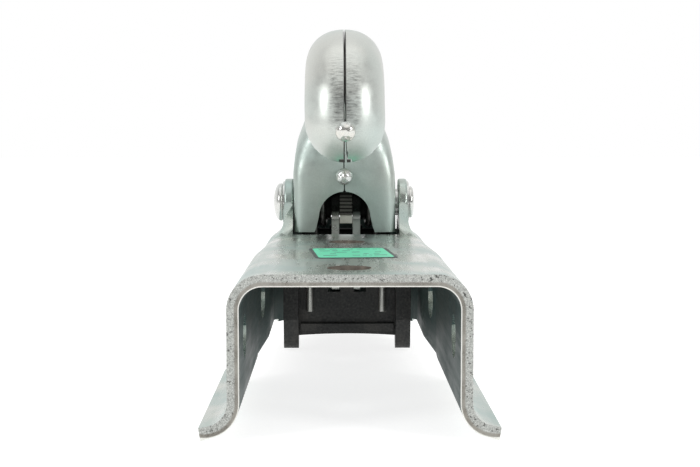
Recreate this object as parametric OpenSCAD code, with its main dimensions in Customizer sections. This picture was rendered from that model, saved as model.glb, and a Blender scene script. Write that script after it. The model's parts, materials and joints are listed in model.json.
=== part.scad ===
// Ball coupling head for a 50 mm tow ball and a square drawbar.
// Origin: centre of the ball. +X right seen from the drawbar, +Y towards the tow vehicle, +Z up.

/* [Drawbar channel] */
// Clear width between the side walls, drawbar width plus play
channel_w = 71; // [66:1:76]
// Thickness of the pressed sheet
sheet = 4; // [3:0.5:5]
// Distance from the rear edge to the ball centre
body_len = 205; // [195:1:225]
// Height of the top web's upper face over the ball centre
web_z = 30; // [30:0.5:31]
// Height of the flange tips, measured down from the top web
channel_h = 53.7; // [50:0.1:58]
// Diameter of the mounting holes
hole_d = 15; // [12:0.5:17]

/* [Ball socket] */
// Diameter of the tow ball
ball_d = 50; // [50:0.1:50.8]
// Play between the ball and the socket
ball_play = 0.5; // [0.2:0.1:0.8]

/* [Pivot] */
// Diameter of the handle's pivot pin
pin_d = 12; // [10:1:12]
// Distance of the pivot pin behind the ball centre
pin_back = 30; // [29:0.5:31]
// Height of the pivot pin over the top web
pin_rise = 13.4; // [13:0.1:15]
// Distance between the ears' inner faces
ear_gap = 47; // [47:0.5:49]

/* [Handle] */
// Width of the yoke between the ears
yoke_w = 45.4; // [44:0.1:46]
// Width of the grip
grip_w = 28; // [26:1:30]
// Sheet thickness of the half shells
shell = 3; // [2:0.5:3]

/* [Label] */
// Length of the label along the drawbar
label_len = 38; // [30:1:45]
// Turn of the label
label_turn = 5; // [0:1:8]

/* [Hidden] */
$fn = 64;

zinc = [0.74, 0.77, 0.75];
bright_zinc = [0.82, 0.83, 0.83];
phosphate = [0.20, 0.21, 0.22];
spring_steel = [0.70, 0.68, 0.64];
mint = [0.40, 0.88, 0.70];

through = 200;              // length of a tool that cuts right through
eps = 0.2;                  // overlap of joined solids
slice_t = 0.5;              // thickness of a slice inside a hull
fit = 0.05;                 // radial running clearance
wall_in = channel_w / 2;
wall_out = wall_in + sheet;
corner_in = 7.5;
corner_out = corner_in + sheet;
flange_tip = 48.8;          // half width over the flange tips
flange_rise = 4.1;          // height of the sheared tip
bend_z = web_z - 41.5;      // where the walls start to flare
bend_in = 7.5;
bend_angle = 80;
flange_end = -103;          // front end of the flanges
neck_y = -62;               // front end of the narrowing stretch
neck_in = 33.5;             // inner half width of the neck
neck_out = neck_in + sheet;
dome_y = -14;               // where the neck starts to close around the ball
rim_z = -13;                // lower rim in front of the flanges
cup_in = (ball_d + ball_play) / 2;
cup_out = cup_in + sheet;
lip_z = rim_z - 1.2;        // underside of the stiffening lip
cup_round = 20;             // corner radius where the neck meets the cup
lip_r = 33.5;                 // outer radius of the stiffening lip
window_back = -47.5;
window_front = -13;
ear_t = sheet;
ear_r = 10.6;
ear_in = ear_gap / 2;
ear_out = ear_in + ear_t;
sweep_r = 10.5;             // concave sweep from the shoulder into the ear
ear_foot = 32.8;            // where the sweep runs out on the shoulder
top_holes = [-185, -85];
side_holes = [-179, -85];
side_hole_z = web_z - 24;
pin_r = pin_d / 2;
pin_y = -pin_back;
pin_z = web_z + pin_rise;
washer_t = 0.8;
washer_r = 9.4;

yoke_out = yoke_w / 2;
yoke_in = yoke_out - shell;
yoke_back = -47;
yoke_front = -17;
yoke_top = 57;
yoke_foot = 13;             // radius of the yoke's lower edge around the pin
seam = 0.25;                // half the gap between the two shells
arch_r = 11.2;
arch_top = web_z + 18.8;
arch_foot = 13;

hanger_in = 3.05;
hanger_t = 3.3;
cam_t = 3.4;
cam_in = yoke_in - cam_t;
cam_r = 20;
cam_rivet = 8.5;            // offset of each rivet from the pin, both ways
rivet_r = 2.5;
follower_r = 2.5;
follower_orbit = 14.5;
slot_gap = 0.3;
handle_travel = 55;
jaw_travel = 11;
wire_r = 1.5;
coil_r = 9.8;
bush_r = 8;
catch_half = 2.75;
catch_y = -38.5;
catch_z = 62;
catch_pin_r = 2.5;
jaw_half = 28.5;
jaw_web = 22;
jaw_rivet_at = [[-36, 19], [-31.5, 9.5]];

// Grip centre line from the hooked end to the yoke: [y, z, half width, half depth, squareness]
GRIP = [
    [-163, 78.5, grip_w / 2, 14, 2.2],
    [-161, 87, grip_w / 2, 14, 2.2],
    [-152, 95.4, grip_w / 2, 14, 2.2],
    [-135, 98.8, grip_w / 2, 13.8, 2.2],
    [-110, 99.2, grip_w / 2, 13.8, 2.2],
    [-84, 96, grip_w / 2, 14, 2.3],
    [-63, 91, grip_w / 2 + 0.2, 13.8, 2.5],
    [-48.5, 86.6, grip_w / 2 + 0.8, 13.2, 2.8],
    [-37.6, 80.6, grip_w / 2 + 2.2, 12, 3.2],
    [-33, 70, yoke_out - 2, 13.2, 4.4],
    [-32, yoke_top, yoke_out, 15, 7]];
steps = 3;                  // sections per stretch of the centre line
ring = 14;                  // facets round half a section

// ---------- functions ----------
function blend4(a, b, c, d, t) = 0.5 * (2 * b + (c - a) * t + (2 * a - 5 * b + 4 * c - d) * t * t
    + (3 * b - a - 3 * c + d) * t * t * t);
function pick(list, i) = list[max(0, min(len(list) - 1, i))];
function along(list, u) = let (i = min(len(list) - 2, floor(u)), t = u - i)
    blend4(pick(list, i - 1), pick(list, i), pick(list, i + 1), pick(list, i + 2), t);
function unit(v) = v / norm(v);
function flat(list) = [for (part = list) each part];
function heading(u) = let (a = along(GRIP, max(0, u - 0.05)),
    b = along(GRIP, min(len(GRIP) - 1, u + 0.05))) unit([b[0] - a[0], b[1] - a[1]]);

// One half section of the grip, pulled in by the sheet's thickness
function section(c, dir, inset, grow) = [for (k = [0 : ring])
    let (a = 90 - 180 * k / ring, p = 2 / c[4], w = (c[2] - inset) * grow, h = (c[3] - inset) * grow)
    let (across = w * pow(max(0, cos(a)), p), up = h * sign(sin(a)) * pow(abs(sin(a)), p))
    [max(seam, across), c[0] - dir[1] * up, c[1] + dir[0] * up]];

function cap_section(e, inset) = let (c = GRIP[0], dir = heading(0), reach = (c[3] - inset) * sin(e))
    section([c[0] - dir[0] * reach, c[1] - dir[1] * reach, c[2], c[3], c[4]], dir, inset, cos(e));

function grip_skin(inset) = concat([for (e = [78, 60, 42, 22]) cap_section(e, inset)],
    [for (i = [0 : steps * (len(GRIP) - 1)]) let (u = i / steps) section(along(GRIP, u), heading(u), inset, 1)]);

// Sweep of a round wire along a path, closed at both ends
function frame_at(path, i) = let (t = unit(pick(path, i + 1) - pick(path, i - 1)),
    side = unit(cross(t, abs(t[0]) > 0.9 ? [0, 0, 1] : [1, 0, 0])))
    [side, cross(side, t)];
function wire_points(path, r, sides) = flat([for (i = [0 : len(path) - 1]) let (f = frame_at(path, i))
    [for (k = [0 : sides - 1]) let (a = 360 * k / sides) path[i] + r * (cos(a) * f[0] + sin(a) * f[1])]]);
function wire_faces(n, sides) = concat(
    flat([for (i = [0 : n - 2]) [for (k = [0 : sides - 1]) let (a = i * sides + k,
        b = i * sides + (k + 1) % sides) [a, a + sides, b + sides, b]]]),
    [[for (k = [0 : sides - 1]) k], [for (k = [sides - 1 : -1 : 0]) (n - 1) * sides + k]]);

// ---------- shared shapes ----------
// A cylinder along X, from x0 to x1, at [y, z]
module bar(r, x0, x1, at) {
    translate([x0, at[0], at[1]]) rotate([0, 90, 0]) cylinder(r = r, h = x1 - x0);
}

// Solids drawn on one side, or on both
module both_sides() {
    children();
    mirror([1, 0, 0]) children();
}

// A 2D shape drawn in Y and Z, made solid from x0 to x1
module side_plate(x0, x1) {
    translate([x0, 0, 0]) rotate([90, 0, 90]) linear_extrude(x1 - x0) children();
}

// A 2D shape drawn in X and Z, made solid from y0 to y1
module cross_plate(y0, y1) {
    translate([0, y1, 0]) rotate([90, 0, 0]) linear_extrude(y1 - y0) children();
}

// Inverted-U outline, solid inside: half width, top height, corner radius, lower edge
module arch_outline(half, top, r, low) {
    translate([-half, low]) square([2 * half, top - r - low]);
    translate([r - half, top - r - eps]) square([2 * (half - r), r + eps]);
    for (side = [-1, 1]) translate([side * (half - r), top - r]) circle(r);
}

// Cross section of the channel with its flared flanges
module channel_outline() {
    difference() {
        arch_outline(wall_out, web_z, corner_out, bend_z);
        translate([0, -1]) arch_outline(wall_in, web_z - sheet + 1, corner_in, bend_z - 1);
    }
    for (side = [0, 1]) mirror([side, 0]) flange_outline();
}

module flange_outline() {
    centre_x = wall_out + bend_in;
    swing = [cos(180 + bend_angle), sin(180 + bend_angle)];
    difference() {
        translate([centre_x, bend_z]) intersection() {
            circle(bend_in + sheet);
            polygon([[0, eps], [-2 * bend_in, eps], [-2 * bend_in, -4 * bend_in], 4 * bend_in * swing]);
        }
        translate([centre_x, bend_z]) circle(bend_in);
    }
    lap = [cos(176 + bend_angle), sin(176 + bend_angle)];
    start_in = [centre_x, bend_z] + (bend_in + 0.05) * lap;
    start_out = [centre_x, bend_z] + (bend_in + sheet - 0.05) * lap;
    polygon([start_in, start_out, [flange_tip - 0.7, web_z - channel_h],
        [flange_tip, web_z - channel_h + flange_rise]]);
}

// Thin slice of that outline, for the hulls of the narrowing stretches
module slice(y, half, top, r, low) {
    cross_plate(y - slice_t, y) {
        for (side = [-1, 1]) translate([side * (half - r), top - r]) circle(r);
        translate([-half, low]) square([2 * half, 1]);
    }
}

// ---------- coupler body ----------
// A stretch of the neck between two outlines: [y, half width, top height, corner radius]
module stretch(from, to, low) {
    hull() {
        slice(from[0], from[1], from[2], from[3], low, $fn = 32);
        slice(to[0], to[1], to[2], to[3], low, $fn = 32);
    }
}

module neck_outer() {
    stretch([flange_end, wall_out, web_z, corner_out], [neck_y, neck_out, web_z, corner_out], rim_z);
    cross_plate(neck_y - slice_t, dome_y) arch_outline(neck_out, web_z, corner_out, rim_z);
    stretch([dome_y, neck_out, web_z, corner_out], [0, cup_out + 0.6, cup_out - 0.4, cup_round], rim_z);
}

module neck_inner() {
    top = web_z - sheet;
    low = rim_z - 3;
    stretch([flange_end - eps, wall_in, top, corner_in], [neck_y, neck_in, top, corner_in], low);
    cross_plate(neck_y - slice_t, dome_y) arch_outline(neck_in, top, corner_in, low);
    stretch([dome_y, neck_in, top - 5, corner_in], [0, cup_in - 0.3, cup_in - 3, cup_round - sheet], low);
}

// Ball cup: a dome over the ball, a skirt and a stiffening lip
module cup_outer() {
    sphere(cup_out, $fn = 96);
    translate([0, 0, lip_z + 1]) cylinder(r = cup_out, h = -lip_z - 1, $fn = 96);
    translate([0, 0, lip_z]) cylinder(r = lip_r, h = sheet);
}

module cup_inner() {
    reach = lip_r + 5;
    translate([-reach, -reach, lip_z - reach]) cube([2 * reach, 2 * reach, reach]);
    sphere(cup_in, $fn = 96);
    translate([0, 0, 2 * rim_z]) cylinder(r = cup_in, h = -2 * rim_z, $fn = 96);
}

module ears() {
    foot = web_z - 14;
    intersection() {
        both_sides() cross_plate(window_back - 10, window_front + 10) difference() {
            translate([ear_in, foot]) square([ear_foot - ear_in, pin_z + ear_r - foot]);
            translate([ear_out, web_z + 6.9]) square([through, through]);
            translate([ear_out + sweep_r, web_z + 6.9]) circle(sweep_r);
        }
        union() {
            bar(ear_r, -through, through, [pin_y, pin_z]);
            side_plate(-through, through) polygon([[pin_y - ear_r, pin_z], [pin_y + ear_r, pin_z],
                [window_front, web_z], [window_front, foot], [window_back - 6, foot],
                [window_back - 6, web_z - 3], [window_back + 1, web_z + 5]]);
        }
    }
}

// Upturned front edge of the window, behind the dome
module window_lip() {
    back = window_front + 3.5;
    side_plate(-19, 19) polygon([[back, web_z - 2], [back, web_z + 4], [back + 1, web_z + 5],
        [back + 3, web_z + 5], [back + 4, web_z + 4], [back + 5, web_z - 2]]);
}

module coupler_body() {
    color(zinc) difference() {
        union() {
            cross_plate(-body_len, flange_end) channel_outline();
            difference() {
                union() {
                    neck_outer();
                    cup_outer();
                }
                neck_inner();
                cup_inner();
            }
            difference() {
                ears();
                cup_inner();
            }
            window_lip();
        }
        translate([-ear_in, window_back, web_z - sheet - 12])
            cube([ear_gap, window_front - window_back, through]);
        for (y = top_holes) translate([0, y, web_z - sheet - 1]) cylinder(d = hole_d, h = sheet + 2);
        for (y = side_holes) bar(hole_d / 2, -through, through, [y, side_hole_z]);
        bar(pin_r + fit / 2, -through, through, [pin_y, pin_z]);
        both_sides() bar(washer_r + 0.3, ear_out, ear_out + 3, [pin_y, pin_z]);
    }
}

module rating_label() {
    w = 30;
    r = 2.5;
    color(mint) translate([1.5, -134, web_z]) rotate([0, 0, label_turn]) linear_extrude(0.3) {
        translate([-w / 2 + r, -label_len / 2]) square([w - 2 * r, label_len]);
        translate([-w / 2, -label_len / 2 + r]) square([w, label_len - 2 * r]);
        for (x = [-1, 1], y = [-1, 1]) translate([x * (w / 2 - r), y * (label_len / 2 - r)]) circle(r);
    }
}

// ---------- pivot ----------
module pivot_pin() {
    dome_r = 14;
    dome_h = 4.3;
    head_r = 8.5;
    seat = ear_out + washer_t;
    color(bright_zinc) {
        bar(pin_r, -seat - 1, seat + 1, [pin_y, pin_z]);
        bar(7.15, seat, seat + 2.3, [pin_y, pin_z]);
        intersection() {
            bar(head_r, -seat - dome_h, -seat, [pin_y, pin_z]);
            translate([-seat - dome_h + dome_r, pin_y, pin_z]) sphere(dome_r);
        }
    }
}

module pivot_washer(side) {
    x0 = side > 0 ? ear_out : -ear_out - washer_t;
    color(bright_zinc) difference() {
        bar(washer_r, x0, x0 + washer_t, [pin_y, pin_z]);
        bar(pin_r + fit, x0 - 1, x0 + washer_t + 1, [pin_y, pin_z]);
    }
}

module pivot_washer_left() { pivot_washer(-1); }
module pivot_washer_right() { pivot_washer(1); }

module pivot_bushes() {
    x0 = hanger_in + hanger_t + 0.3;
    color(spring_steel) both_sides() difference() {
        bar(bush_r, x0, cam_in - 0.3, [pin_y, pin_z]);
        bar(pin_r + fit, x0 - 1, cam_in + 1, [pin_y, pin_z]);
    }
}

// ---------- handle ----------
module grip_half() {
    outer = grip_skin(0);
    inner = grip_skin(shell);
    rows = len(outer);
    cols = ring + 1;
    count = rows * cols;
    faces = concat(
        flat([for (i = [0 : rows - 2]) [for (k = [0 : ring - 1]) let (a = i * cols + k)
            [a, a + cols, a + cols + 1, a + 1]]]),
        flat([for (i = [0 : rows - 2]) [for (k = [0 : ring - 1]) let (a = count + i * cols + k)
            [a, a + 1, a + cols + 1, a + cols]]]),
        [for (i = [0 : rows - 2]) let (a = i * cols) [a, count + a, count + a + cols, a + cols]],
        [for (i = [0 : rows - 2]) let (a = i * cols + ring) [a, a + cols, count + a + cols, count + a]],
        [for (k = [0 : ring - 1]) let (a = (rows - 1) * cols + k) [a, count + a, count + a + 1, a + 1]],
        [[for (k = [0 : ring]) k]],
        [[for (k = [ring : -1 : 0]) count + k]],
        [[0, ring, count + ring, count]]);
    polyhedron(concat(flat(outer), flat(inner)), faces, 6);
}

module yoke_plan() {
    r = 4;
    difference() {
        union() {
            translate([seam, yoke_back]) square([yoke_out - r - seam, shell]);
            translate([yoke_in, yoke_back + r]) square([shell, yoke_front - yoke_back - r]);
            intersection() {
                translate([yoke_out - r, yoke_back + r]) circle(r);
                translate([yoke_out - r - eps, yoke_back - eps]) square(r + 2 * eps);
            }
        }
        translate([yoke_out - r, yoke_back + r]) circle(r - shell);
    }
}

module handle_half() {
    foot = web_z + 1;
    grip_half();
    difference() {
        intersection() {
            translate([0, 0, foot - 1]) linear_extrude(yoke_top - foot + 1 + eps) yoke_plan();
            side_plate(-through, through) union() {
                translate([pin_y, pin_z]) circle(yoke_foot);
                translate([pin_y - 20, foot]) square([20, yoke_top]);
                translate([pin_y - 1, pin_z]) square([14, yoke_top]);
            }
        }
        cross_plate(yoke_back - 1, yoke_back + shell + 1) union() {
            translate([0, arch_top - arch_r]) circle(arch_r);
            polygon([[-arch_foot, 0], [arch_foot, 0], [arch_foot, foot], [arch_r, arch_top - arch_r],
                [-arch_r, arch_top - arch_r], [-arch_foot, foot]]);
        }
        bar(pin_r + fit, yoke_in - 1, yoke_out + 1, [pin_y, pin_z]);
        for (y = [-1, 1])
            bar(rivet_r, yoke_in - 1, yoke_out + 1, [pin_y + y * cam_rivet, pin_z + cam_rivet]);
    }
}

module handle_right_shell() { color(zinc) handle_half(); }
module handle_left_shell() { color(zinc) mirror([1, 0, 0]) handle_half(); }

module handle_weld_beads() {
    color(bright_zinc) {
        translate([0, -174.6, 75.6]) sphere(3.9, $fn = 32);
        translate([0, -48.2, 55.5]) sphere(3.8, $fn = 32);
    }
}

module cam_outline() {
    slot_from = 270;
    slot_to = 270 + handle_travel - jaw_travel;
    half_slot = follower_r + slot_gap;
    difference() {
        union() {
            circle(12);
            translate([-12, 0]) square([24, 13]);
            intersection() {
                circle(cam_r);
                polygon([[0, 0], 60 * [cos(slot_from - 22), sin(slot_from - 22)], [10, -60],
                    60 * [cos(slot_to + 22), sin(slot_to + 22)]]);
            }
        }
        circle(pin_r + fit);
        intersection() {
            difference() {
                circle(follower_orbit + half_slot);
                circle(follower_orbit - half_slot);
            }
            polygon([[0, 0], 60 * [cos(slot_from), sin(slot_from)], 60 * [cos(slot_to), sin(slot_to)]]);
        }
        for (a = [slot_from, slot_to])
            translate(follower_orbit * [cos(a), sin(a)]) circle(half_slot);
    }
}

module cam_plate(x0) {
    color(spring_steel) difference() {
        side_plate(x0, x0 + cam_t) translate([pin_y, pin_z]) cam_outline();
        for (y = [-1, 1])
            bar(rivet_r, x0 - 1, x0 + cam_t + 1, [pin_y + y * cam_rivet, pin_z + cam_rivet]);
    }
}

module cam_plate_right() { cam_plate(cam_in); }
module cam_plate_left() { cam_plate(-yoke_in); }

module cam_rivets() {
    color(bright_zinc) both_sides() for (y = [-1, 1])
        bar(rivet_r, cam_in - 0.3, yoke_out, [pin_y + y * cam_rivet, pin_z + cam_rivet]);
}

// ---------- safety catch ----------
module catch_pin() {
    color(bright_zinc) bar(catch_pin_r, -yoke_out + 1, yoke_out - 1, [catch_y, catch_z]);
}

module catch_clips() {
    color(spring_steel) both_sides() difference() {
        bar(4.2, 10.2, 11.2, [catch_y, catch_z]);
        bar(catch_pin_r, 9, 12, [catch_y, catch_z]);
    }
}

module safety_catch() {
    tooth = 1.6;
    teeth = 4;
    foot_z = web_z + 4.6;
    color(bright_zinc) difference() {
        side_plate(-catch_half, catch_half) union() {
            translate([catch_y, catch_z]) circle(4.6);
            polygon([[catch_y - 3, catch_z], [catch_y - 3, foot_z + 10], [catch_y - 3.6, foot_z],
                [catch_y + 0.2, foot_z], [catch_y + 0.4, foot_z + 14], [catch_y + 4, catch_z]]);
            translate([catch_y - 4.6, foot_z]) square([3, 3.4]);
            for (i = [0 : teeth - 1]) translate([catch_y - 4.2 + 0.25 * i, foot_z + 3.6 + i * tooth])
                square([3, tooth * 0.6]);
        }
        bar(catch_pin_r + fit, -through, through, [catch_y, catch_z]);
    }
}

// Torsion spring on the catch pin, with a leg down each end
module catch_spring() {
    r = 3.9;
    turns = 3;
    start_x = 3.9;
    end_x = start_x + 1.7 * turns;
    back_y = catch_y - 4.6;
    path = concat(
        [[start_x, back_y, catch_z - 14], [start_x, back_y, catch_z - 8]],
        [for (i = [0 : turns * 12]) let (a = 180 - 30 * i)
            [start_x + i * 1.7 / 12, catch_y + r * cos(a), catch_z + r * sin(a)]],
        [[end_x, back_y, catch_z - 5], [end_x, back_y, catch_z - 9]]);
    color(spring_steel) polyhedron(wire_points(path, 0.7, 8), wire_faces(len(path), 8), 4);
}

// ---------- jaw ----------
module jaw_cheek_outline() {
    translate([-37, 8]) circle(6);
    translate([-35, -18.4]) circle(4.3);
    polygon([[-43, 8], [-31, 8], [-29.5, -6], [-30.7, -18.4], [-39.3, -18.4], [-41.5, -8.8], [-43, -8.8]]);
}

// The jaw's plate across the channel, with a bowed lower edge and seats for the hangers
module jaw_plate() {
    back = -37;
    front = -17.5;
    low = -16.6;
    top = 7;
    seat = 3.2;
    bow = 300;
    difference() {
        union() {
            translate([-jaw_web, back, low]) cube([2 * jaw_web, front - back, top - low]);
            translate([-jaw_web + 1, back - 2, low + 2.2]) cube([2 * jaw_web - 2, 2.5, 3.4]);
        }
        translate([0, 0, low - bow + 0.8]) rotate([90, 0, 0])
            cylinder(r = bow, h = through, center = true, $fn = 720);
        both_sides() translate([hanger_in - fit, back - 3, seat])
            cube([hanger_t + 2.2, front - back + 4, top - seat + 1]);
    }
}

module ball_jaw() {
    color(phosphate) difference() {
        union() {
            both_sides() side_plate(jaw_web - 0.2, jaw_half) jaw_cheek_outline();
            jaw_plate();
            side_plate(-hanger_in + fit, hanger_in - fit) union() {
                for (at = jaw_rivet_at) translate(at) circle(5.5);
                polygon([[-41, 17], [-30.5, 19], [-26, 8], [-30, 2], [-36, 2], [-40, 10]]);
            }
        }
        sphere(cup_in, $fn = 96);
        for (at = jaw_rivet_at) bar(3, -10, 10, at);
    }
}

module jaw_hanger(x0) {
    x1 = x0 + hanger_t;
    color(zinc) difference() {
        union() {
            bar(12, x0, x1, [pin_y, pin_z]);
            side_plate(x0, x1) polygon([[pin_y - 9.5, pin_z - 5], [pin_y + 9.5, pin_z - 5],
                [pin_y + 6, 9], [pin_y - 0.5, 3.5], [pin_y - 6, 4], [pin_y - 12.5, 15.5]]);
        }
        bar(pin_r + fit, x0 - 1, x1 + 1, [pin_y, pin_z]);
        bar(follower_r, x0 - 1, x1 + 1, [pin_y, pin_z - follower_orbit]);
        for (at = jaw_rivet_at) bar(3, x0 - 1, x1 + 1, at);
    }
}

module jaw_hanger_right() { jaw_hanger(hanger_in); }
module jaw_hanger_left() { jaw_hanger(-hanger_in - hanger_t); }

module jaw_rivets() {
    out = hanger_in + hanger_t;
    color(bright_zinc) for (at = jaw_rivet_at) {
        bar(3, -out - 1, out + 1, at);
        both_sides() bar(4.6, out, out + 1.8, at);
    }
}

module follower_pin() {
    color(bright_zinc) bar(follower_r, -yoke_in + 0.6, yoke_in - 0.6, [pin_y, pin_z - follower_orbit]);
}

module follower_clips() {
    out = hanger_in + hanger_t;
    color(spring_steel) both_sides() difference() {
        bar(4.1, out, out + 1, [pin_y, pin_z - follower_orbit]);
        bar(follower_r, out - 1, out + 2, [pin_y, pin_z - follower_orbit]);
    }
}

// Double torsion spring: a bridge, a coil on each bush and a leg down to the jaw on each side
module main_spring() {
    coil_x = 9.3;
    pitch = 3.1;
    end_x = coil_x + 1.5 * pitch;
    bridge = 15;
    leg_x = 16.3;
    leg_y = -38.7;
    half = concat(
        [for (x = [0, 4, 7.4]) [x, pin_y + bridge * cos(50), pin_z + bridge * sin(50)]],
        [[coil_x - 0.3, pin_y + 12 * cos(30), pin_z + 12 * sin(30)]],
        [for (i = [0 : 18]) let (a = -30 * i)
            [coil_x + i * pitch / 12, pin_y + coil_r * cos(a), pin_z + coil_r * sin(a)]],
        [[end_x, pin_y - coil_r, pin_z - 19], [leg_x, leg_y, 12], [leg_x, leg_y, 6], [leg_x, leg_y, -6.3]]);
    color(bright_zinc) both_sides()
        polyhedron(wire_points(half, wire_r, 10), wire_faces(len(half), 10), 6);
}

coupler_body();
rating_label();
pivot_pin();
pivot_washer_left();
pivot_washer_right();
pivot_bushes();
handle_left_shell();
handle_right_shell();
handle_weld_beads();
cam_plate_left();
cam_plate_right();
cam_rivets();
catch_pin();
catch_clips();
catch_spring();
safety_catch();
ball_jaw();
jaw_hanger_left();
jaw_hanger_right();
jaw_rivets();
follower_pin();
follower_clips();
main_spring();
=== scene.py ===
"""Looks of a zinc-plated ball coupling head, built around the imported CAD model. Lengths are in metres."""
import json
import math
import random

import bmesh
import bpy
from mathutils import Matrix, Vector, noise


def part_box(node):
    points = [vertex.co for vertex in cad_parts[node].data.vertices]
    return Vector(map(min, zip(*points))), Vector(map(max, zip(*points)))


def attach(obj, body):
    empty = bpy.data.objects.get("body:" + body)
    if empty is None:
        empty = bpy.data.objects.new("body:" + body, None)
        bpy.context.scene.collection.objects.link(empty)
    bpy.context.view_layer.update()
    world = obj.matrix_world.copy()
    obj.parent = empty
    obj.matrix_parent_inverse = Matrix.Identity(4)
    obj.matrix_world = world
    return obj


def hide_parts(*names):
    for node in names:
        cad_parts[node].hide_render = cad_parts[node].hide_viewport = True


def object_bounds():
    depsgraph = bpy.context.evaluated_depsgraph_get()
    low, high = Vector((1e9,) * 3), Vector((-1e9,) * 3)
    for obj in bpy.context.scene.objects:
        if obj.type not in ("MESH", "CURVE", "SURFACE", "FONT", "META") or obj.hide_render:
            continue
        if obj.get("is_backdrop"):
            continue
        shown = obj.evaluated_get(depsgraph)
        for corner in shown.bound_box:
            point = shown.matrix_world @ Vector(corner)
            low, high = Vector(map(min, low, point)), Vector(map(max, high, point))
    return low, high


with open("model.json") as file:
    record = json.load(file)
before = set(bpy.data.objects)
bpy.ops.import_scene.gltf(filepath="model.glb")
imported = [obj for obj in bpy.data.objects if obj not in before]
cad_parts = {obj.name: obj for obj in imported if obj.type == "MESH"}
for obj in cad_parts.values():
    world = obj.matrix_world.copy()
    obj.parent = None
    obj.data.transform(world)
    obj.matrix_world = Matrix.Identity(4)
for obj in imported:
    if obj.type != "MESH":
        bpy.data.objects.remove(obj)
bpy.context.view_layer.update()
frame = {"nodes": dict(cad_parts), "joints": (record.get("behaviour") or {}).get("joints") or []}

SEED = 7

# ---------------------------------------------------------------- places, read from the frame
REAR_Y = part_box("coupler_body")[0].y
LABEL_LOW, LABEL_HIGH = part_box("rating_label")
WEB_Z = LABEL_LOW.z
PIN_LOW, PIN_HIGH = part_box("pivot_pin")
HINGE = {j["name"]: Vector(j["pos_m"]) for j in frame["joints"]}
PIN_AXIS = HINGE["handle_lift"]
CATCH_AXIS = HINGE["catch_release"]
WASHER_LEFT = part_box("pivot_washer_left")
WASHER_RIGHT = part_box("pivot_washer_right")
SHELL_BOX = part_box("handle_right_shell")

# Grip centre line from the hooked end to the yoke: y, z, half width, half depth, squareness
GRIP = [
    (-0.163, 0.0785, 0.0140, 0.0140, 2.2),
    (-0.161, 0.0870, 0.0140, 0.0140, 2.2),
    (-0.152, 0.0954, 0.0140, 0.0140, 2.2),
    (-0.135, 0.0988, 0.0140, 0.0138, 2.2),
    (-0.110, 0.0992, 0.0140, 0.0138, 2.2),
    (-0.084, 0.0960, 0.0140, 0.0140, 2.3),
    (-0.063, 0.0910, 0.0142, 0.0138, 2.5),
    (-0.0485, 0.0866, 0.0148, 0.0132, 2.8),
    (-0.0376, 0.0806, 0.0162, 0.0120, 3.2),
    (-0.033, 0.0700, 0.0207, 0.0132, 4.4),
    (-0.032, 0.0570, 0.0227, 0.0150, 7.0),
]
YOKE_FOOT_Z = 0.031
SHELL_T = 0.003
SEAM = 0.00025  # half the gap between the two shells
WEB_HOLES_Y = (-0.185, -0.085)

# Pieces that sit off centre within their play, and pieces that lean with the handle's shells
SIDE_PLAY = {"ball_jaw": 0.0005, "follower_pin": -0.0004}
LEANING = ("cam_rivets", "catch_pin")


# ---------------------------------------------------------------- node helpers
class Nodes:
    """Short names for building one material's node tree."""

    def __init__(self, name):
        self.material = bpy.data.materials.new(name)
        self.material.use_nodes = True
        self.tree = self.material.node_tree
        self.shader = self.tree.nodes["Principled BSDF"]
        coords = self.tree.nodes.new("ShaderNodeTexCoord")
        self.place = coords.outputs["Object"]

    def add(self, kind, **values):
        node = self.tree.nodes.new(kind)
        for key, value in values.items():
            if hasattr(node, key):
                setattr(node, key, value)
            else:
                node.inputs[key.replace("_", " ")].default_value = value
        return node

    def link(self, source, target):
        self.tree.links.new(source, target)

    def stretched(self, scale):
        """Object coordinates scaled differently along each axis."""
        mapping = self.add("ShaderNodeMapping")
        mapping.inputs["Scale"].default_value = scale
        self.link(self.place, mapping.inputs["Vector"])
        return mapping.outputs["Vector"]

    def xyz(self):
        """The three object coordinates as numbers."""
        split = self.add("ShaderNodeSeparateXYZ")
        self.link(self.place, split.inputs[0])
        return split.outputs

    def noise(self, size, detail=3.0, rough=0.55, vector=None):
        """Noise whose features are about size metres across."""
        node = self.add("ShaderNodeTexNoise", Scale=1.0 / size, Detail=detail, Roughness=rough)
        self.link(vector or self.place, node.inputs["Vector"])
        return node.outputs["Fac"]

    def ramp(self, source, stops):
        node = self.add("ShaderNodeValToRGB")
        ramp = node.color_ramp
        while len(ramp.elements) < len(stops):
            ramp.elements.new(0.5)
        for element, (position, color) in zip(ramp.elements, stops):
            element.position = position
            element.color = (*color, 1.0)
        self.link(source, node.inputs["Fac"])
        return node.outputs["Color"]

    def grey(self, source, low, high, start=0.35, end=0.65):
        """A number that runs from low to high as source runs from start to end."""
        node = self.add("ShaderNodeMapRange")
        for key, value in (("From Min", start), ("From Max", end), ("To Min", low), ("To Max", high)):
            node.inputs[key].default_value = value
        self.link(source, node.inputs["Value"])
        return node.outputs["Result"]

    def mix(self, factor, a, b, mode="MIX"):
        node = self.add("ShaderNodeMix", data_type="RGBA", blend_type=mode)
        for socket, value in ((node.inputs[0], factor), (node.inputs[6], a), (node.inputs[7], b)):
            if isinstance(value, (int, float)):
                socket.default_value = value
            elif isinstance(value, tuple):
                socket.default_value = (*value, 1.0)
            else:
                self.link(value, socket)
        return node.outputs[2]

    def math(self, operation, a, b):
        node = self.add("ShaderNodeMath", operation=operation)
        for socket, value in zip(node.inputs, (a, b)):
            if isinstance(value, (int, float)):
                socket.default_value = value
            else:
                self.link(value, socket)
        return node.outputs[0]

    def bump(self, height, depth, strength=1.0):
        node = self.add("ShaderNodeBump", Strength=strength, Distance=depth)
        self.link(height, node.inputs["Height"])
        self.link(node.outputs["Normal"], self.shader.inputs["Normal"])


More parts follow.
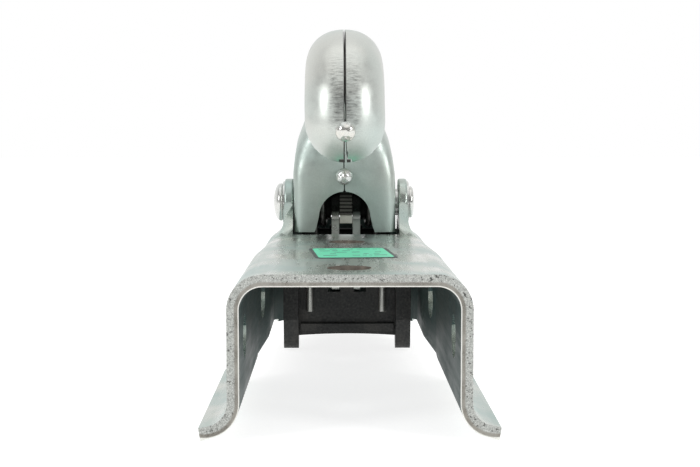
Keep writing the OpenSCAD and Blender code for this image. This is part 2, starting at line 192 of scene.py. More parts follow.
def shade_with_height(n, color, unshaded_z, dark_z, dark=0.12):
    """Darkens a colour with height, as painted shade inside the yoke."""
    return n.mix(1.0, color, n.grey(n.xyz()["Z"], 1.0, dark, unshaded_z, dark_z), "MULTIPLY")


def zinc(name, base, cream, teal, rough=0.36, streak=0.5, metallic=0.85, spread=0.035,
         specular=0.5, relief=0.6, finish=None):
    """Passivated zinc plating: patches of cream and teal tint, rolling streaks and a fine spangle.

    finish takes the nodes and the colour, and returns the colour with marks of use and painted shade on it."""
    n = Nodes(name)
    streaks = n.noise(0.0030, 4.0, 0.6, n.stretched((1.0, 0.06, 1.0)))
    patches = n.noise(spread, 3.0, 0.5)
    grain = n.noise(0.00045, 2.0, 0.6)
    scratches = n.noise(0.00035, 3.0, 0.7, n.stretched((1.0, 0.04, 0.4)))
    tint = n.mix(n.grey(patches, 0.0, 1.0), cream, teal)
    color = n.mix(0.45, base, tint)
    lines = n.grey(streaks, 0.86, 1.10, 0.3, 0.7)
    color = n.mix(streak, color, n.mix(1.0, color, lines, "MULTIPLY"))
    specks = n.grey(grain, 0.93, 1.05, 0.3, 0.7)
    color = n.mix(1.0, color, specks, "MULTIPLY")
    if finish:
        color = finish(n, color)
    n.link(color, n.shader.inputs["Base Color"])
    n.shader.inputs["Metallic"].default_value = metallic
    roughness = n.math("ADD", n.grey(streaks, -0.06, 0.07), n.grey(patches, rough - 0.05, rough + 0.07))
    n.link(roughness, n.shader.inputs["Roughness"])
    n.shader.inputs["Specular IOR Level"].default_value = specular
    n.bump(n.math("ADD", n.math("MULTIPLY", scratches, 0.5), grain), 0.000008, relief)
    return n.material


def press_marks_and_shade(n, color):
    """Drawing marks beside the seam at the hooked end and nicks; painted shade in the seam and the notch
    there, and painted shade tinted teal on the yoke.
    """
    seam_x, mark_half, seam_half, notch_half = -0.0014, 0.0040, 0.00035, 0.00200
    notch_top = 0.0656
    x, y, z = n.xyz()
    from_seam = n.math("ABSOLUTE", n.math("SUBTRACT", x, seam_x), 0.0)
    band = n.grey(from_seam, 1.0, 0.0, mark_half, mark_half + 0.0022)
    band = n.math("MULTIPLY", band, n.grey(y, 1.0, 0.0, -0.1620, -0.1480))
    band = n.math("MULTIPLY", band, n.grey(z, 0.0, 1.0, 0.0720, 0.0800))
    band = n.math("MULTIPLY", band, n.grey(z, 1.0, 0.0, 0.0930, 0.1040))
    lines = n.noise(0.0016, 5.0, 0.75, n.stretched((0.5, 1.0, 3.2)))
    marks = n.math("MULTIPLY", band, n.grey(lines, 0.75, 0.0, 0.34, 0.56))
    nicks = n.noise(0.0022, 2.0, 0.4, n.stretched((1.0, 1.0, 0.16)))
    marks = n.math("MAXIMUM", marks, n.grey(nicks, 0.5, 0.0, 0.20, 0.235))
    hook = n.grey(y, 1.0, 0.0, -0.150, -0.148)
    # Painted shade in the seam and in the T-shaped notch at the hooked end.
    seam_shade = n.math("MULTIPLY", hook, n.grey(from_seam, 0.95, 0.0, seam_half, seam_half + 0.00025))
    notch = n.math("MULTIPLY", hook, n.grey(from_seam, 1.0, 0.0, notch_half, notch_half + 0.00015))
    notch = n.math("MULTIPLY", notch, n.grey(z, 1.0, 0.0, notch_top, notch_top + 0.0002))
    marks = n.math("MAXIMUM", marks, n.math("MAXIMUM", seam_shade, notch))
    # Painted shade, tinted teal, darkens the yoke below the grip.
    teal_shaded = n.mix(1.0, color, (0.72, 0.78, 0.76), "MULTIPLY")
    color = n.mix(n.grey(z, 1.0, 0.0, 0.050, 0.078), color, teal_shaded)
    # Drawing marks, nicks and the painted shade of seam and notch share one dark colour.
    return n.mix(marks, color, (0.06, 0.06, 0.055))


def tooth_shade(n, color):
    """Painted shade in the grooves between the catch's teeth and painted shade growing with height; its
    foot gets no groove shade.
    """
    foot_z, first_tooth, tooth, tooth_share = WEB_Z + 0.0046, 0.0036, 0.0016, 0.6
    z = n.xyz()["Z"]
    above_foot = n.math("SUBTRACT", z, foot_z + first_tooth)
    step = n.math("FRACT", n.math("DIVIDE", above_foot, tooth), 0.0)
    # Painted shade: dark bands between the teeth.
    shade_paint = n.grey(n.math("LESS_THAN", step, tooth_share), 0.03, 0.16, 0.0, 1.0)
    level = n.math("MAXIMUM", shade_paint, n.math("LESS_THAN", above_foot, 0.0))
    # Painted shade: darker with height inside the yoke.
    inside = n.grey(z, 1.0, 0.15, 0.0440, 0.0480)
    return n.mix(1.0, color, n.math("MULTIPLY", level, inside), "MULTIPLY")


def hanger_shade(n, color):
    """Painted shade: the hangers go dark a little above the web."""
    return shade_with_height(n, color, unshaded_z=0.0345, dark_z=0.0400, dark=0.02)


def depth_into_sheet(n):
    """0 on the sheet's outer face and 1 on its inner face, anywhere on the channel's section."""
    wall, corner, sheet, bend = 0.0395, 0.0115, 0.004, 0.0075
    bend_z = WEB_Z - 0.0415
    side, _, z = n.xyz()
    x = n.math("ABSOLUTE", side, 0.0)

    def radius(a, b):
        return n.math("SQRT", n.math("ADD", n.math("MULTIPLY", a, a), n.math("MULTIPLY", b, b)), 0.0)

    over = radius(n.math("MAXIMUM", n.math("SUBTRACT", x, wall - corner), 0.0),
                  n.math("MAXIMUM", n.math("SUBTRACT", z, WEB_Z - corner), 0.0))
    upper = n.math("SUBTRACT", corner, over)
    to_bend = radius(n.math("SUBTRACT", wall + bend, x), n.math("SUBTRACT", z, bend_z))
    lower = n.math("SUBTRACT", to_bend, bend)
    is_lower = n.math("LESS_THAN", z, bend_z)
    depth = n.math("ADD", n.math("MULTIPLY", lower, is_lower),
                   n.math("MULTIPLY", upper, n.math("SUBTRACT", 1.0, is_lower)))
    return n.math("DIVIDE", depth, sheet)


def sheared(name):
    """Cut edge of the sheet: torn grain with dark pits, smoother and browner towards the inner rim."""
    n = Nodes(name)
    grain = n.noise(0.00032, 4.0, 0.7)
    pits = n.noise(0.0011, 3.0, 0.65)
    blotches = n.noise(0.006, 2.0, 0.5)
    band = depth_into_sheet(n)
    torn = n.ramp(grain, [(0.32, (0.24, 0.245, 0.23)), (0.50, (0.46, 0.475, 0.45)),
                          (0.66, (0.70, 0.715, 0.68))])
    torn = n.mix(n.grey(pits, 0.9, 0.0, 0.34, 0.41), torn, (0.05, 0.05, 0.045))
    smooth = n.mix(n.grey(blotches, 0.0, 1.0), (0.16, 0.145, 0.12), (0.36, 0.34, 0.30))
    smooth = n.mix(n.grey(grain, 0.0, 0.5), smooth, (0.34, 0.33, 0.30))
    color = n.mix(n.grey(band, 0.0, 0.92, 0.56, 0.68), torn, smooth)
    color = n.mix(n.grey(band, 0.0, 1.0, 0.88, 0.95), color, (0.88, 0.88, 0.83))
    n.link(color, n.shader.inputs["Base Color"])
    n.shader.inputs["Metallic"].default_value = 0.45
    n.link(n.grey(grain, 0.62, 0.42), n.shader.inputs["Roughness"])
    n.bump(n.math("ADD", grain, pits), 0.00012, 0.8)
    return n.material


def forged(name):
    """Dark phosphated forging with scale and rubbed high spots."""
    n = Nodes(name)
    scale = n.noise(0.0010, 4.0, 0.6)
    wear = n.noise(0.012, 3.0, 0.6)
    color = n.ramp(scale, [(0.3, (0.016, 0.017, 0.017)), (0.55, (0.028, 0.029, 0.028)),
                           (0.75, (0.050, 0.048, 0.044))])
    color = n.mix(n.grey(wear, 0.0, 0.5, 0.50, 0.75), color, (0.085, 0.080, 0.072))
    n.link(color, n.shader.inputs["Base Color"])
    n.shader.inputs["Metallic"].default_value = 0.35
    n.link(n.grey(scale, 0.62, 0.40), n.shader.inputs["Roughness"])
    n.bump(scale, 0.00008, 0.7)
    return n.material


def wire_metal(name, base, rough=0.3):
    """Drawn wire: fine lines along its length read as a silky sheen."""
    n = Nodes(name)
    lines = n.noise(0.0004, 3.0, 0.7)
    patches = n.noise(0.006, 2.0, 0.5)
    color = n.mix(n.grey(patches, 0.0, 0.6), base, tuple(0.72 * c for c in base))
    # Painted shade: the wire darkens with height inside the yoke.
    n.link(shade_with_height(n, color, unshaded_z=0.018, dark_z=0.028), n.shader.inputs["Base Color"])
    n.shader.inputs["Metallic"].default_value = 0.9
    n.link(n.grey(lines, rough - 0.05, rough + 0.12), n.shader.inputs["Roughness"])
    n.bump(lines, 0.00003, 0.5)
    return n.material


def film(name, base, rough=0.32):
    """Printed plastic film with a faint orange peel."""
    n = Nodes(name)
    cloud = n.noise(0.004, 3.0, 0.6)
    dust = n.noise(0.0004, 2.0, 0.6)
    color = n.mix(n.grey(cloud, 0.0, 0.35), base, tuple(min(1.0, 1.25 * c + 0.03) for c in base))
    n.link(color, n.shader.inputs["Base Color"])
    n.link(n.grey(dust, rough, rough + 0.15), n.shader.inputs["Roughness"])
    n.bump(dust, 0.00001, 0.4)
    return n.material


# ---------------------------------------------------------------- mesh helpers
def finish_piece(name, bm, body, materials, nodes=(), weighted=True, crease=50):
    """Turns a bmesh into a smooth-shaded piece that rides on a body and stands for CAD nodes."""
    bmesh.ops.recalc_face_normals(bm, faces=bm.faces)
    for f in bm.faces:
        f.smooth = True
    for e in sharp_edges(bm, crease):
        e.smooth = False
    mesh = bpy.data.meshes.new(name)
    bm.to_mesh(mesh)
    bm.free()
    for material in materials:
        mesh.materials.append(material)
    piece = bpy.data.objects.new(name, mesh)
    bpy.context.scene.collection.objects.link(piece)
    if weighted:
        normals = piece.modifiers.new("even_normals", "WEIGHTED_NORMAL")
        normals.keep_sharp = True
    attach(piece, body)
    if nodes:
        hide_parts(*nodes)
    return piece


def sharp_edges(bm, degrees):
    """Edges where two faces meet at more than the given angle."""
    limit = math.radians(degrees)
    return [e for e in bm.edges if len(e.link_faces) == 2 and e.calc_face_angle(0.0) > limit]


def ease_edges(bm, width, segments=2, degrees=28, wanted=None):
    """Rounds every wanted edge sharper than the given angle."""
    edges = [e for e in sharp_edges(bm, degrees) if wanted is None or wanted(e)]
    bmesh.ops.bevel(bm, geom=edges, offset=width, offset_type="OFFSET",
                    segments=segments, profile=0.5, affect="EDGES", clamp_overlap=True)


def cad_mesh(node):
    """The CAD node's mesh, welded into one closed skin."""
    bm = bmesh.new()
    bm.from_mesh(frame["nodes"][node].data)
    bmesh.ops.remove_doubles(bm, verts=bm.verts, dist=2e-6)
    return bm


def refine(node, width, material, body):
    """The CAD node, with its edges broken where they show."""
    bm = cad_mesh(node)
    if width:
        bmesh.ops.dissolve_limit(bm, angle_limit=math.radians(0.7), verts=bm.verts, edges=bm.edges)
        ease_edges(bm, width)
    if node in SIDE_PLAY:
        bmesh.ops.translate(bm, verts=bm.verts, vec=(SIDE_PLAY[node], 0.0, 0.0))
    elif node in LEANING:
        lean(bm)
    return finish_piece(node + "_shape", bm, body, [material], [node], crease=28)


def lathe(profile, at, sides=64):
    """Turns (x, r) points round the axis along X through at. The ends close on the axis."""
    bm = bmesh.new()
    rings = []
    for x, r in profile:
        if r <= 0.0:
            rings.append([bm.verts.new((x, at.y, at.z))])
            continue
        rings.append([bm.verts.new((x, at.y + r * math.cos(a), at.z + r * math.sin(a)))
                      for a in (math.tau * k / sides for k in range(sides))])
    for one, two in zip(rings, rings[1:]):
        for k in range(sides):
            quad = [one[k % len(one)], one[(k + 1) % len(one)], two[(k + 1) % len(two)], two[k % len(two)]]
            corners = list(dict.fromkeys(quad))
            if len(corners) > 2:
                bm.faces.new(corners)
    return bm


def extrude_outline(points, axis, low, high):
    """A closed prism. points are in the two other axes; axis is 'x' or 'y'."""
    bm = bmesh.new()

    def place(p, s):
        return (s, p[0], p[1]) if axis == "x" else (p[0], s, p[1])

    ends = [[bm.verts.new(place(p, s)) for p in points] for s in (low, high)]
    bm.faces.new(ends[0])
    bm.faces.new(list(reversed(ends[1])))
    for k in range(len(points)):
        j = (k + 1) % len(points)
        bm.faces.new([ends[0][k], ends[1][k], ends[1][j], ends[0][j]])
    bmesh.ops.recalc_face_normals(bm, faces=bm.faces)
    return bm


def as_object(bm, name="cutter"):
    """A plain object from a bmesh, for the boolean cuts."""
    mesh = bpy.data.meshes.new(name)
    bm.to_mesh(mesh)
    bm.free()
    thing = bpy.data.objects.new(name, mesh)
    bpy.context.scene.collection.objects.link(thing)
    return thing


def cut(bm, cutters):
    """bm with each cutter's shape taken away."""
    base = as_object(bm, "blank")
    tools = [as_object(c) for c in cutters]
    for tool in tools:
        modifier = base.modifiers.new("cut", "BOOLEAN")
        modifier.operation = "DIFFERENCE"
        modifier.solver = "EXACT"
        modifier.object = tool
    result = bmesh.new()
    evaluated = base.evaluated_get(bpy.context.evaluated_depsgraph_get())
    result.from_mesh(evaluated.to_mesh())
    evaluated.to_mesh_clear()
    for thing in [base] + tools:
        bpy.data.objects.remove(thing)
    return result


# ---------------------------------------------------------------- handle
def spline(list_of_rows, u):
    """The row at u along a smooth curve through the rows."""
    last = len(list_of_rows) - 1
    i = min(last - 1, int(u))
    t = u - i
    rows = [list_of_rows[max(0, min(last, k))] for k in (i - 1, i, i + 1, i + 2)]
    return [0.5 * (2 * b + (c - a) * t + (2 * a - 5 * b + 4 * c - d) * t * t
                   + (3 * b - a - 3 * c + d) * t ** 3) for a, b, c, d in zip(*rows)]


def heading(u):
    """Unit direction (y, z) of the grip's centre line at u."""
    last = len(GRIP) - 1
    a, b = spline(GRIP, max(0.0, u - 0.05)), spline(GRIP, min(last, u + 0.05))
    length = math.hypot(b[0] - a[0], b[1] - a[1])
    return (b[0] - a[0]) / length, (b[1] - a[1]) / length


def half_section(row, direction, inset, grow, gap, ring):
    """One half of a grip section, from the ridge seam round to the underside seam."""
    y, z, half_w, half_h, square = row
    power = 2.0 / square
    points = []
    for k in range(ring + 1):
        angle = math.pi * (0.5 - k / ring)
        across = (half_w - inset) * grow * max(0.0, math.cos(angle)) ** power
        up = (half_h - inset) * grow * math.copysign(abs(math.sin(angle)) ** power, math.sin(angle))
        points.append(Vector((max(gap, across), y - direction[1] * up, z + direction[0] * up)))
    return points


def grip_rows(inset, ring, per_stretch, gap_at):
    """All sections of the half shell, from the rounded tip to the yoke's foot."""
    rows = []
    tip, ahead = GRIP[0], heading(0.0)
    for e in (84, 74, 63, 51, 38, 25, 12):
        reach = (tip[3] - inset) * math.sin(math.radians(e))
        row = (tip[0] - ahead[0] * reach, tip[1] - ahead[1] * reach, *tip[2:])
        rows.append(half_section(row, ahead, inset, math.cos(math.radians(e)), gap_at(-e / 90), ring))
    last = len(GRIP) - 1
    for i in range(per_stretch * last + 1):
        u = i / per_stretch
        rows.append(half_section(spline(GRIP, u), heading(u), inset, 1.0, gap_at(u), ring))
    y, z, half_w, half_h, square = GRIP[-1]
    drop = z - YOKE_FOOT_Z + 0.003
    for i in range(1, 9):
        row = (y, z - drop * i / 8, half_w, half_h, square + 2 * i / 8)
        rows.append(half_section(row, (0.0, -1.0), inset, 1.0, SEAM, ring))
    return rows


def handle_half(side, material):
    """One pressed half shell: hooked grip, square yoke, arch, open front and rounded cut edges."""
    ring, per_stretch = 36, 7

    def gap_at(u):
        """Half the seam, which opens a little at the hooked end."""
        return SEAM + 0.00015 * math.exp(-((u + 0.75) / 0.22) ** 2)

    bm = bmesh.new()
    skins = []
    for inset in (0.0, SHELL_T):
        rows = grip_rows(inset, ring, per_stretch, gap_at)
        skins.append([[bm.verts.new(p) for p in row] for row in rows])
    outer, inner = skins
    last = len(outer) - 1
    for i in range(last):
        for k in range(ring):
            bm.faces.new([outer[i][k], outer[i + 1][k], outer[i + 1][k + 1], outer[i][k + 1]])
            bm.faces.new([inner[i][k], inner[i][k + 1], inner[i + 1][k + 1], inner[i + 1][k]])
        bm.faces.new([outer[i][0], inner[i][0], inner[i + 1][0], outer[i + 1][0]])
        bm.faces.new([outer[i][ring], outer[i + 1][ring], inner[i + 1][ring], inner[i][ring]])
    for k in range(ring):
        bm.faces.new([outer[last][k], inner[last][k], inner[last][k + 1], outer[last][k + 1]])
    bm.faces.new(outer[0])
    bm.faces.new(list(reversed(inner[0])))
    bm.faces.new([outer[0][0], outer[0][ring], inner[0][ring], inner[0][0]])
    bmesh.ops.recalc_face_normals(bm, faces=bm.faces)
    wrinkle(bm)
    bm = cut(bm, [arch_cutter(), front_cutter(), foot_cutter(), tip_notch()] + pin_cutters())
    bmesh.ops.remove_doubles(bm, verts=bm.verts, dist=1e-6)
    ease_edges(bm, 0.00045, 3, 40, lambda e: not any(near_axis(v.co) for v in e.verts))
    if side < 0:
        for v in bm.verts:
            v.co.x = -v.co.x
        bmesh.ops.reverse_faces(bm, faces=bm.faces)
    lean(bm)
    name = "handle_right_shell" if side > 0 else "handle_left_shell"
    return finish_piece(name + "_shape", bm, "handle", [material], [name], weighted=False)


def near_axis(co):
    """Close to the pivot pin or a cam rivet, where the bores keep their plain rims."""
    raised, reach, top = 0.004, 0.0125, 0.056
    return math.hypot(co.y - PIN_AXIS.y, co.z - PIN_AXIS.z - raised) < reach and co.z < top


def lean(bm):
    """The play between the ears lets the handle sit a little to the left, most at the grip's end."""
    for v in bm.verts:
        v.co.x -= 0.0006 + 0.0008 * max(0.0, min(1.0, (v.co.z - 0.045) / 0.040))


def wrinkle(bm):
    """The pressed metal ripples beside the seam at the hooked end and waves softly above the yoke."""
    for v in bm.verts:
        near_seam = math.exp(-abs(v.co.x) / 0.0045)
        hook = max(0.0, min(1.0, (-0.130 - v.co.y) / 0.02))
        fade = max(0.0, min(1.0, (v.co.z - 0.058) / 0.012))
        wave = noise.noise(Vector((v.co.x * 500, v.co.y * 120, v.co.z * 90)))
        soft = noise.noise(v.co * 60.0)
        push = fade * (0.00008 * near_seam * hook * wave + 0.00012 * soft)
        v.co += Vector((push * (1 if v.co.x > 0.001 else 0), push, push))


def arc(cy, cz, radius, start, end, count):
    """Points on an arc, angles in degrees."""
    return [(cy + radius * math.cos(math.radians(start + (end - start) * i / count)),
             cz + radius * math.sin(math.radians(start + (end - start) * i / count)))
            for i in range(count + 1)]


def arch_cutter():
    """Round arch in the yoke's rear wall, a little pointed at the seam and flared at its foot."""
    radius, top, foot = 0.0114, WEB_Z + 0.0188, 0.0133
    side = arc(0.0, top - radius, radius, 3, 86, 14)
    right = [(foot + 0.003, 0.0), (foot, YOKE_FOOT_Z), (foot - 0.0009, YOKE_FOOT_Z + 0.0024)] + side
    peak = [(0.0, top + 0.0009)]
    left = [(-x, z) for x, z in reversed(right)]
    return extrude_outline(right + peak + left, "y", SHELL_BOX[0].y, -0.0385)


def front_cutter():
    """Open front of the yoke."""
    half, top, r = 0.0194, 0.0573, 0.006
    right = [(half, 0.0)] + arc(half - r, top - r, r, 0, 90, 6)
    left = [(-x, z) for x, z in reversed(right)]
    return extrude_outline(right + left, "y", -0.0232, 0.0)


def foot_cutter():
    """Trims the side walls round the pivot pin."""
    r = 0.0128
    curve = arc(PIN_AXIS.y, PIN_AXIS.z, r, -78, 0, 14)
    behind, ahead, top = -0.070, 0.030, 0.070
    outline = [(behind, 0.0), (behind, YOKE_FOOT_Z)] + curve
    outline += [(PIN_AXIS.y + r, top), (ahead, top), (ahead, 0.0)]
    return extrude_outline(outline, "x", -0.040, 0.040)


def pin_cutters():
    """Bores for the pivot pin and the two cam rivets."""
    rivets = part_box("cam_rivets")
    radius = (rivets[1].z - rivets[0].z) / 2
    bores = [(PIN_AXIS, 0.00605, 48)]
    for y in (rivets[0].y + radius, rivets[1].y - radius):
        bores.append((Vector((0.0, y, rivets[0].z + radius)), radius + 0.00005, 32))
    return [lathe([(-0.04, 0.0), (-0.04, r), (0.04, r), (0.04, 0.0)], at, sides) for at, r, sides in bores]


def tip_notch():
    """Shallow T-shaped recess where the two halves meet at the hooked end's lowest point."""
    bottom = GRIP[0][1] - GRIP[0][3]
    outline = [(-0.0021, bottom - 0.004), (0.0021, bottom - 0.004), (0.0021, bottom + 0.0013),
               (0.0007, bottom + 0.0015), (0.0006, bottom + 0.0040), (-0.0006, bottom + 0.0040),
               (-0.0007, bottom + 0.0015), (-0.0021, bottom + 0.0013)]
    return extrude_outline(outline, "y", SHELL_BOX[0].y - 0.001, GRIP[0][0] - 0.001)


def weld_beads(material):
    """Two blobs of weld: round, with a shallow crater and a skin that rippled as it froze."""
    low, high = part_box("handle_weld_beads")
    spots = [(Vector((0.0, low.y + 0.0039, high.z - 0.0039)), 0.0039, Vector((0.15, -0.8, 0.55))),
             (Vector((0.0, high.y - 0.0038, low.z + 0.0038)), 0.0038, Vector((-0.3, -0.9, 0.2)))]
    bm = bmesh.new()
    for centre, radius, crater in spots:
        made = bmesh.ops.create_icosphere(bm, subdivisions=5, radius=radius)["verts"]
        crater.normalize()
        for v in made:
            outward = v.co.normalized()
            dent = math.exp(-(1.0 - outward.dot(crater)) / 0.02)
            ripple = noise.noise(outward * 3.2 + centre * 900) * 0.05 + noise.noise(outward * 9.0) * 0.012
            v.co = centre + outward * radius * (0.985 + ripple * 0.5 - 0.10 * dent)
    lean(bm)
    return finish_piece("weld_blobs", bm, "handle", [material], ["handle_weld_beads"], weighted=False)


# ---------------------------------------------------------------- pivot
def pivot_pin(material, shade_paint):
    """Turned pin with a domed head on the left and a peened end on the right."""
    left_seat, right_seat = WASHER_LEFT[0].x, WASHER_RIGHT[1].x
    head_r, dome_h = 0.0085, left_seat - PIN_LOW.x
    shank = 0.006
    profile = [(PIN_LOW.x, 0.0)]
    for i in range(1, 15):
        a = math.radians(90 * i / 14)
        profile.append((PIN_LOW.x + dome_h * 0.72 * (1 - math.cos(a)), head_r * math.sin(a) ** 0.9))
    profile += [(left_seat - 0.0006, head_r), (left_seat - 0.0001, head_r - 0.0004),
                (left_seat, head_r - 0.0009)]
    profile += [(x, shank) for x in (left_seat + 0.0001, -0.022, 0.022, right_seat - 0.0001)]
    rim = 0.00715
    profile += [(right_seat, rim - 0.0008), (right_seat + 0.0003, rim - 0.0001), (right_seat + 0.0012, rim),
                (PIN_HIGH.x - 0.0005, rim - 0.0004), (PIN_HIGH.x - 0.0001, rim - 0.0011),
                (PIN_HIGH.x, rim - 0.002), (PIN_HIGH.x - 0.0003, 0.0032), (PIN_HIGH.x - 0.0008, 0.0016),
                (PIN_HIGH.x - 0.0009, 0.0)]
    bm = lathe(profile, PIN_AXIS)
    # Painted shade on the middle of the shank, between the hangers.
    for f in bm.faces:
        f.material_index = 1 if abs(f.calc_center_median().x) < 0.020 else 0
    return finish_piece("pivot_pin_turned", bm, "frame", [material, shade_paint],
                        ["pivot_pin"], weighted=False)


# ---------------------------------------------------------------- springs
def wire(name, points, radius, body, material, nodes):
    """A round wire along points, as a smooth curve with closed ends."""
    data = bpy.data.curves.new(name, "CURVE")
    data.dimensions = "3D"
    data.bevel_depth = radius
    data.bevel_resolution = 6
    data.use_fill_caps = True
    for line in points:
        path = data.splines.new("POLY")
        path.points.add(len(line) - 1)
        for point, place in zip(path.points, line):
            point.co = (*place, 1.0)
        path.use_smooth = True
    data.materials.append(material)
    piece = bpy.data.objects.new(name, data)
    bpy.context.scene.collection.objects.link(piece)
    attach(piece, body)
    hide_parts(*nodes)
    return piece


def smooth_path(knots, per=8):
    """Points on a curve through the knots."""
    last = len(knots) - 1
    return [Vector(spline(knots, i / per)) for i in range(per * last + 1)]


def main_spring(material):
    """Double torsion spring: bridge, a coil on each bush, and two long legs with rounded ends."""
    coil_r, coil_x, pitch, bridge = 0.0098, 0.0093, 0.0031, 0.0150
    end_x = coil_x + 1.5 * pitch
    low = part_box("main_spring")[0]
    leg_x, leg_y = 0.0163, -0.0387

    def turn(x, r, degrees):
        a = math.radians(degrees)
        return (x, PIN_AXIS.y + r * math.cos(a), PIN_AXIS.z + r * math.sin(a))

    knots = [turn(0.0, bridge, 50), turn(0.004, bridge, 50), turn(0.0072, bridge - 0.0006, 47),
             turn(coil_x - 0.0004, 0.0122, 30)]
    knots += [turn(coil_x + i * pitch / 12, coil_r, -30 * i) for i in range(19)]
    behind = PIN_AXIS.y - coil_r
    knots += [(end_x, behind, PIN_AXIS.z - 0.010), (end_x, behind, PIN_AXIS.z - 0.019),
              (leg_x, leg_y, 0.0120), (leg_x, leg_y, 0.0060), (leg_x, leg_y, low.z + 0.0009)]
    half = smooth_path(knots, 6)
    both = [half, [Vector((-p.x, p.y, p.z)) for p in half]]
    return wire("main_spring_wire", both, 0.0015, "jaw", material, ["main_spring"])


def catch_spring(material):
    """Torsion spring on the catch pin, with a leg down each end."""
    r, start_x, turns, pitch = 0.0039, 0.0039, 3, 0.0017
    back = CATCH_AXIS.y - 0.0046
    knots = [(start_x, back, CATCH_AXIS.z - 0.014), (start_x, back, CATCH_AXIS.z - 0.008)]
    for i in range(turns * 12 + 1):
        a = math.radians(180 - 30 * i)
        y, z = CATCH_AXIS.y + r * math.cos(a), CATCH_AXIS.z + r * math.sin(a)
        knots.append((start_x + i * pitch / 12, y, z))
    end_x = start_x + pitch * turns
    knots += [(end_x, back, CATCH_AXIS.z - 0.005), (end_x, back, CATCH_AXIS.z - 0.009)]
    return wire("catch_spring_wire", [smooth_path(knots, 5)], 0.0007, "handle", material,
                ["catch_spring"])


# ---------------------------------------------------------------- coupler body
def coupler_body(plate, torn, inside, drilled):
    """The CAD channel with broken edges; sheared and drilled faces get surfaces of their own, and the inner
    faces and the window under the yoke get painted shade.
    """
    ear_round, rim_round, flange_end_y = 0.0009, 0.00045, -0.104
    surfaces = [plate, torn, inside, drilled]
    bm = cad_mesh("coupler_body")
    ease_edges(bm, ear_round, 3, 40, on_ear)
    ease_edges(bm, rim_round, 3, 40, on_rim)
    for f in bm.faces:
        middle = f.calc_center_median()
        at_rear = f.normal.y < -0.7 and middle.y < REAR_Y + 0.0006
        at_rim = f.normal.z < -0.85 and middle.z < -0.012 and middle.y > flange_end_y
        if at_rear or at_rim:
            f.material_index = surfaces.index(torn)
        elif in_web_hole(middle):
            f.material_index = surfaces.index(drilled)
        elif faces_inwards(f, middle) or in_window(f, middle):
            f.material_index = surfaces.index(inside)
    return finish_piece("coupler_body_shape", bm, "frame", surfaces, ["coupler_body"])


def on_ear(e):
    """True for the outline of an ear, clear of the pin's bore and the washer's seat."""
    shoulder_z, ear_inside, seat_r = WEB_Z + 0.0075, 0.0232, 0.0101
    return all(v.co.z > shoulder_z and abs(v.co.x) > ear_inside
               and math.hypot(v.co.y - PIN_AXIS.y, v.co.z - PIN_AXIS.z) > seat_r for v in e.verts)


def on_rim(e):
    """True for the sheared edges at the rear end and along the flared flanges."""
    flange_top_z, flange_end_y = -0.0170, -0.1030
    at_rear = all(abs(v.co.y - REAR_Y) < 0.00002 for v in e.verts)
    on_flange = all(v.co.z < flange_top_z and v.co.y < flange_end_y for v in e.verts)
    return at_rear or on_flange


def in_web_hole(middle):
    """True on the drilled wall of a top hole."""
    hole_r, below_web = 0.0076, 0.0041
    on_wall = min(math.hypot(middle.x, middle.y - y) for y in WEB_HOLES_Y) < hole_r
    return on_wall and WEB_Z - below_web < middle.z < WEB_Z - 0.00001


def in_window(f, middle):
    """True inside the window under the yoke and on the back of its upturned edge, which lie in shadow."""
    half_wide, back_y, front_y, lip_top = 0.02349, -0.0476, -0.0040, WEB_Z + 0.0051
    inside = abs(middle.x) < half_wide and back_y < middle.y < front_y and middle.z < lip_top
    return inside and f.normal.y < 0.5


def faces_inwards(f, middle):
    """True for the channel's inner faces, which get painted shade."""
    reach_x, flange_z, under_web, walls_end = 0.0372, -0.0205, WEB_Z - 0.0015, -0.010
    if abs(middle.x) >= reach_x or not flange_z < middle.z <= under_web:
        return False
    return f.normal.x * middle.x < -0.0001 or (f.normal.z < -0.3 and middle.z > walls_end)


# ---------------------------------------------------------------- label
def rounded(half_x, half_y, r, steps=6):
    """Outline of a rectangle with rounded corners."""
    points = []
    for cx, cy, start in ((1, 1, 0), (-1, 1, 90), (-1, -1, 180), (1, -1, 270)):
        for i in range(steps + 1):
            a = math.radians(start + 90 * i / steps)
            points.append((cx * (half_x - r) + r * math.cos(a), cy * (half_y - r) + r * math.sin(a)))
    return points


def label(mint, ink):
    """A film label: mint ground, dark rounded border and a few plain generic marks."""
    turn = math.radians(5)
    centre = (LABEL_LOW + LABEL_HIGH) / 2
    half_x, half_y = 0.0150, 0.0190
    top = LABEL_HIGH.z

    def place(x, y, z):
        return (centre.x + x * math.cos(turn) - y * math.sin(turn),
                centre.y + x * math.sin(turn) + y * math.cos(turn), z)

    bm = bmesh.new()

    def slab(outline, low, high, index):
        ends = [[bm.verts.new(place(x, y, z)) for x, y in outline] for z in (low, high)]
        faces = [bm.faces.new(ends[0]), bm.faces.new(list(reversed(ends[1])))]
        for k in range(len(outline)):
            j = (k + 1) % len(outline)
            faces.append(bm.faces.new([ends[0][k], ends[1][k], ends[1][j], ends[0][j]]))
        for f in faces:
            f.material_index = index

    slab(rounded(half_x, half_y, 0.0025), LABEL_LOW.z, top - 0.00008, 1)
    slab(rounded(half_x - 0.0013, half_y - 0.0011, 0.0018), top - 0.00009, top - 0.00004, 0)
    generator = random.Random(SEED)
    for row in range(5):
        y = half_y - 0.0065 - row * 0.0058
        x = -half_x + 0.0035
        while x < half_x - 0.005:
            length = generator.uniform(0.0012, 0.0052)
            height = generator.uniform(0.0005, 0.0012)
            slant = generator.uniform(-0.0004, 0.0004)
            end = min(x + length, half_x - 0.003)
            if generator.random() < 0.72:
                slab([(x, y), (end, y + slant), (end, y + slant + height), (x, y + height)],
                     top - 0.00005, top, 1)
            x += length + generator.uniform(0.0008, 0.0026)
    return finish_piece("rating_label_film", bm, "frame", [mint, ink], ["rating_label"],
                        weighted=False)


